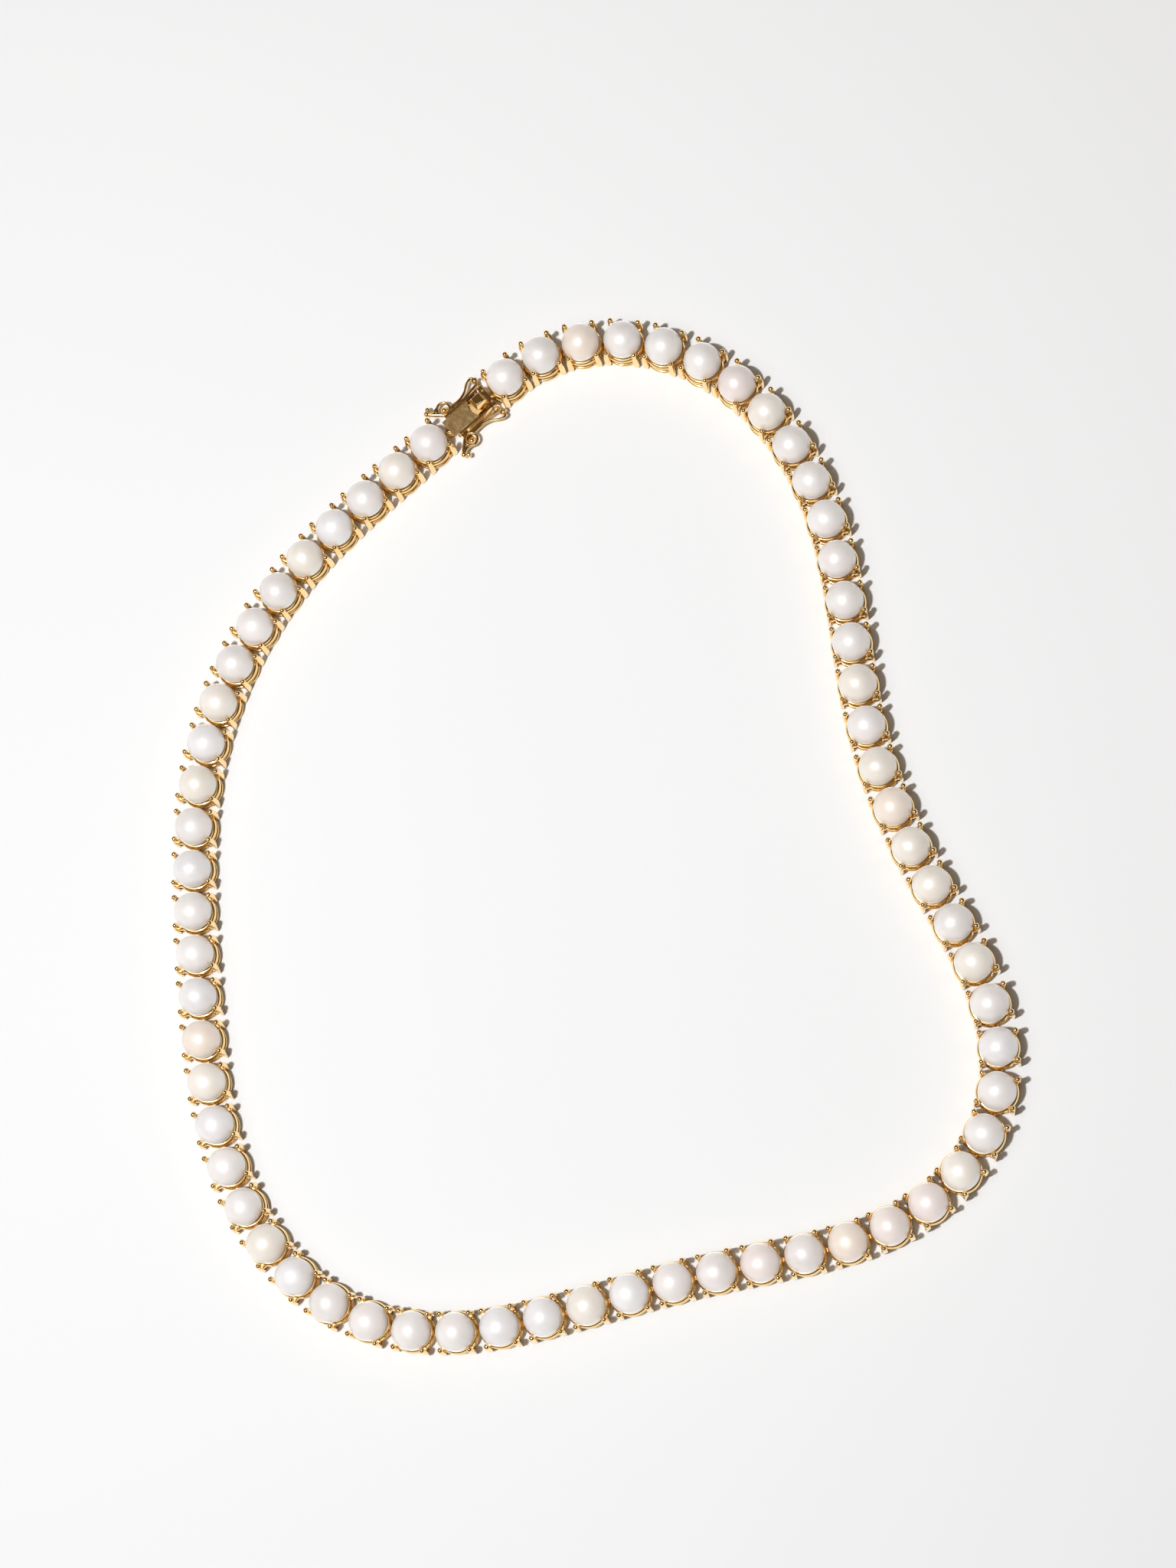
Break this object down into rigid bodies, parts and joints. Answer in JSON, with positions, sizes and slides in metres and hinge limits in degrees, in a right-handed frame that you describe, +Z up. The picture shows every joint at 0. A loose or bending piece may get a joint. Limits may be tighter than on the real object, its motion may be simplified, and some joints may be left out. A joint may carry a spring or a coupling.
{
  "type": "pearl necklace",
  "caption": "Claw-set pearl tennis necklace: hinged gold-coloured settings in a closed loop, box clasp with push button and two fold-over safety catches.",
  "frame": {"origin": "middle of the loop's outline, on the table the necklace lies on", "axes": "+Z up from the table; +Y along the longer way across the loop, towards the end with the clasp; +X to the right of that"},
  "size_m": [0.1194, 0.1484, 0.0065],
  "materials": {
    "gold": "polished gold plating",
    "pearl": "nacre, soft lustre"
  },
  "bodies": {
    "clasp_box": {"clasp_box": "gold", "clasp_cover": "gold", "box_hinge_pin": "gold", "catch_stud_left": "gold", "catch_stud_right": "gold"},
    "links_01_03": {"settings_01_03": "gold", "pearls_01_03": "pearl"},
    "links_04_06": {"settings_04_06": "gold", "pearls_04_06": "pearl"},
    "links_07_09": {"settings_07_09": "gold", "pearls_07_09": "pearl"},
    "links_10_12": {"settings_10_12": "gold", "pearls_10_12": "pearl"},
    "links_13_15": {"settings_13_15": "gold", "pearls_13_15": "pearl"},
    "links_16_18": {"settings_16_18": "gold", "pearls_16_18": "pearl"},
    "links_19_21": {"settings_19_21": "gold", "pearls_19_21": "pearl"},
    "links_22_23": {"settings_22_23": "gold", "pearls_22_23": "pearl"},
    "links_24_25": {"settings_24_25": "gold", "pearls_24_25": "pearl"},
    "links_26_27": {"settings_26_27": "gold", "pearls_26_27": "pearl"},
    "links_28_30": {"settings_28_30": "gold", "pearls_28_30": "pearl"},
    "links_31_33": {"settings_31_33": "gold", "pearls_31_33": "pearl"},
    "links_34_36": {"settings_34_36": "gold", "pearls_34_36": "pearl"},
    "links_37_38": {"settings_37_38": "gold", "pearls_37_38": "pearl"},
    "links_39_40": {"settings_39_40": "gold", "pearls_39_40": "pearl"},
    "links_41_42": {"settings_41_42": "gold", "pearls_41_42": "pearl"},
    "links_43_45": {"settings_43_45": "gold", "pearls_43_45": "pearl"},
    "links_46_48": {"settings_46_48": "gold", "pearls_46_48": "pearl"},
    "links_49_51": {"settings_49_51": "gold", "pearls_49_51": "pearl"},
    "links_52_54": {"settings_52_54": "gold", "pearls_52_54": "pearl"},
    "links_55_57": {"settings_55_57": "gold", "pearls_55_57": "pearl"},
    "links_58_60": {"settings_58_60": "gold", "pearls_58_60": "pearl"},
    "links_61_63": {"settings_61_63": "gold", "pearls_61_63": "pearl"},
    "links_64_65": {"settings_64_65": "gold", "pearls_64_65": "pearl"},
    "tongue": {"clasp_tongue": "gold"},
    "push_leaf": {"spring_leaf": "gold", "push_button": "gold"},
    "catch_left": {"safety_catch_left": "gold"},
    "catch_right": {"safety_catch_right": "gold"}
  },
  "joints": [
    {"name": "box_hinge", "type": "hinge", "parent": "clasp_box", "child": "links_01_03", "pos_m": [-0.02018, 0.05896, 0.001], "axis": [0, 0, -1], "range_deg": [-16.17, 16.83]},
    {"name": "chain_hinge_03", "type": "hinge", "parent": "links_01_03", "child": "links_04_06", "pos_m": [-0.03407, 0.04682, 0.001], "axis": [0, 0, -1], "range_deg": [0, 6.9]},
    {"name": "chain_hinge_06", "type": "hinge", "parent": "links_04_06", "child": "links_07_09", "pos_m": [-0.0463, 0.03306, 0.001], "axis": [0, 0, -1], "range_deg": [-10.9, 22.1]},
    {"name": "chain_hinge_09", "type": "hinge", "parent": "links_07_09", "child": "links_10_12", "pos_m": [-0.05416, 0.01644, 0.001], "axis": [0, 0, -1], "range_deg": [-10.58, 22.42]},
    {"name": "chain_hinge_12", "type": "hinge", "parent": "links_10_12", "child": "links_13_15", "pos_m": [-0.05672, -0.00178, 0.001], "axis": [0, 0, -1], "range_deg": [-12.92, 20.08]},
    {"name": "chain_hinge_15", "type": "hinge", "parent": "links_13_15", "child": "links_16_18", "pos_m": [-0.05583, -0.0202, 0.001], "axis": [0, 0, -1], "range_deg": [-15.38, 17.62]},
    {"name": "chain_hinge_18", "type": "hinge", "parent": "links_16_18", "child": "links_19_21", "pos_m": [-0.05356, -0.0385, 0.001], "axis": [0, 0, -1], "range_deg": [-12.19, 20.81]},
    {"name": "chain_hinge_21", "type": "hinge", "parent": "links_19_21", "child": "links_22_23", "pos_m": [-0.04727, -0.05576, 0.001], "axis": [0, 0, -1], "range_deg": [-7.63, 25.37]},
    {"name": "chain_hinge_23", "type": "hinge", "parent": "links_22_23", "child": "links_24_25", "pos_m": [-0.03924, -0.06501, 0.001], "axis": [0, 0, -1], "range_deg": [-4.92, 28.08]},
    {"name": "chain_hinge_25", "type": "hinge", "parent": "links_24_25", "child": "links_26_27", "pos_m": [-0.02824, -0.07034, 0.001], "axis": [0, 0, -1], "range_deg": [-5.08, 27.92]},
    {"name": "chain_hinge_27", "type": "hinge", "parent": "links_26_27", "child": "links_28_30", "pos_m": [-0.016, -0.07099, 0.001], "axis": [0, 0, -1], "range_deg": [-9.44, 23.56]},
    {"name": "chain_hinge_30", "type": "hinge", "parent": "links_28_30", "child": "links_31_33", "pos_m": [0.00201, -0.06707, 0.001], "axis": [0, 0, -1], "range_deg": [-16.36, 16.64]},
    {"name": "chain_hinge_33", "type": "hinge", "parent": "links_31_33", "child": "links_34_36", "pos_m": [0.01996, -0.06285, 0.001], "axis": [0, 0, -1], "range_deg": [-17.24, 15.76]},
    {"name": "chain_hinge_36", "type": "hinge", "parent": "links_34_36", "child": "links_37_38", "pos_m": [0.03795, -0.05883, 0.001], "axis": [0, 0, -1], "range_deg": [-8.65, 24.35]},
    {"name": "chain_hinge_38", "type": "hinge", "parent": "links_37_38", "child": "links_39_40", "pos_m": [0.04863, -0.05284, 0.001], "axis": [0, 0, -1], "range_deg": [-3.4, 29.6]},
    {"name": "chain_hinge_40", "type": "hinge", "parent": "links_39_40", "child": "links_41_42", "pos_m": [0.05554, -0.04279, 0.001], "axis": [0, 0, -1], "range_deg": [-1.63, 31.37]},
    {"name": "chain_hinge_42", "type": "hinge", "parent": "links_41_42", "child": "links_43_45", "pos_m": [0.05655, -0.03063, 0.001], "axis": [0, 0, -1], "range_deg": [-4.84, 28.16]},
    {"name": "chain_hinge_45", "type": "hinge", "parent": "links_43_45", "child": "links_46_48", "pos_m": [0.04981, -0.01354, 0.001], "axis": [0, 0, -1], "range_deg": [-15.69, 17.31]},
    {"name": "chain_hinge_48", "type": "hinge", "parent": "links_46_48", "child": "links_49_51", "pos_m": [0.04205, 0.00317, 0.001], "axis": [0, 0, -1], "range_deg": [-21.26, 11.74]},
    {"name": "chain_hinge_51", "type": "hinge", "parent": "links_49_51", "child": "links_52_54", "pos_m": [0.03809, 0.02116, 0.001], "axis": [0, 0, -1], "range_deg": [-18.07, 14.93]},
    {"name": "chain_hinge_54", "type": "hinge", "parent": "links_52_54", "child": "links_55_57", "pos_m": [0.03542, 0.03941, 0.001], "axis": [0, 0, -1], "range_deg": [-11.33, 21.67]},
    {"name": "chain_hinge_57", "type": "hinge", "parent": "links_55_57", "child": "links_58_60", "pos_m": [0.02844, 0.05639, 0.001], "axis": [0, 0, -1], "range_deg": [-7.89, 25.11]},
    {"name": "chain_hinge_60", "type": "hinge", "parent": "links_58_60", "child": "links_61_63", "pos_m": [0.01485, 0.06857, 0.001], "axis": [0, 0, -1], "range_deg": [-4.7, 28.3]},
    {"name": "chain_hinge_63", "type": "hinge", "parent": "links_61_63", "child": "links_64_65", "pos_m": [-0.00315, 0.07062, 0.001], "axis": [0, 0, -1], "range_deg": [-1.67, 31.33]},
    {"name": "tongue_hinge", "type": "hinge", "parent": "links_64_65", "child": "tongue", "pos_m": [-0.01373, 0.06457, 0.001], "axis": [0, 0, -1], "range_deg": [-4.67, 11.33]},
    {"name": "push_button_hinge", "type": "hinge", "parent": "tongue", "child": "push_leaf", "pos_m": [-0.01882, 0.06015, 0.00112], "axis": [-0.6561, 0.7547, 0], "range_deg": [0, 4]},
    {"name": "safety_catch_left_hinge", "type": "hinge", "parent": "tongue", "child": "catch_left", "pos_m": [-0.01654, 0.06644, 0.0016], "axis": [-0.6561, 0.7547, 0], "range_deg": [-4, 100]},
    {"name": "safety_catch_right_hinge", "type": "hinge", "parent": "tongue", "child": "catch_right", "pos_m": [-0.01228, 0.06153, 0.0016], "axis": [-0.6561, 0.7547, 0], "range_deg": [-4, 100]}
  ],
  "couplings": [
    {"joint": "box_hinge", "follows": "chain_hinge_03", "ratio": 0.99197},
    {"joint": "chain_hinge_06", "follows": "chain_hinge_03", "ratio": 0.48882},
    {"joint": "chain_hinge_09", "follows": "chain_hinge_03", "ratio": 0.28648},
    {"joint": "chain_hinge_12", "follows": "chain_hinge_03", "ratio": 0.28648},
    {"joint": "chain_hinge_15", "follows": "chain_hinge_03", "ratio": 0.28648},
    {"joint": "chain_hinge_18", "follows": "chain_hinge_03", "ratio": 0.28648},
    {"joint": "chain_hinge_21", "follows": "chain_hinge_03", "ratio": 0.28648},
    {"joint": "chain_hinge_23", "follows": "chain_hinge_03", "ratio": 0.28648},
    {"joint": "chain_hinge_25", "follows": "chain_hinge_03", "ratio": 0.28648},
    {"joint": "chain_hinge_27", "follows": "chain_hinge_03", "ratio": 0.28648},
    {"joint": "chain_hinge_30", "follows": "chain_hinge_03", "ratio": 0.28648},
    {"joint": "chain_hinge_33", "follows": "chain_hinge_03", "ratio": 0.28648},
    {"joint": "chain_hinge_36", "follows": "chain_hinge_03", "ratio": 0.62569},
    {"joint": "chain_hinge_38", "follows": "chain_hinge_03", "ratio": 1.0639},
    {"joint": "chain_hinge_40", "follows": "chain_hinge_03", "ratio": 1.5747},
    {"joint": "chain_hinge_42", "follows": "chain_hinge_03", "ratio": 1.8213},
    {"joint": "chain_hinge_45", "follows": "chain_hinge_03", "ratio": 1.6649},
    {"joint": "chain_hinge_48", "follows": "chain_hinge_03", "ratio": 1.2577},
    {"joint": "chain_hinge_51", "follows": "chain_hinge_03", "ratio": 1.8206},
    {"joint": "chain_hinge_54", "follows": "chain_hinge_03", "ratio": 3.0068},
    {"joint": "chain_hinge_57", "follows": "chain_hinge_03", "ratio": 3.4378},
    {"joint": "chain_hinge_60", "follows": "chain_hinge_03", "ratio": 3.4378},
    {"joint": "chain_hinge_63", "follows": "chain_hinge_03", "ratio": 3.4378},
    {"joint": "tongue_hinge", "follows": "chain_hinge_03", "ratio": 0.87012}
  ]
}
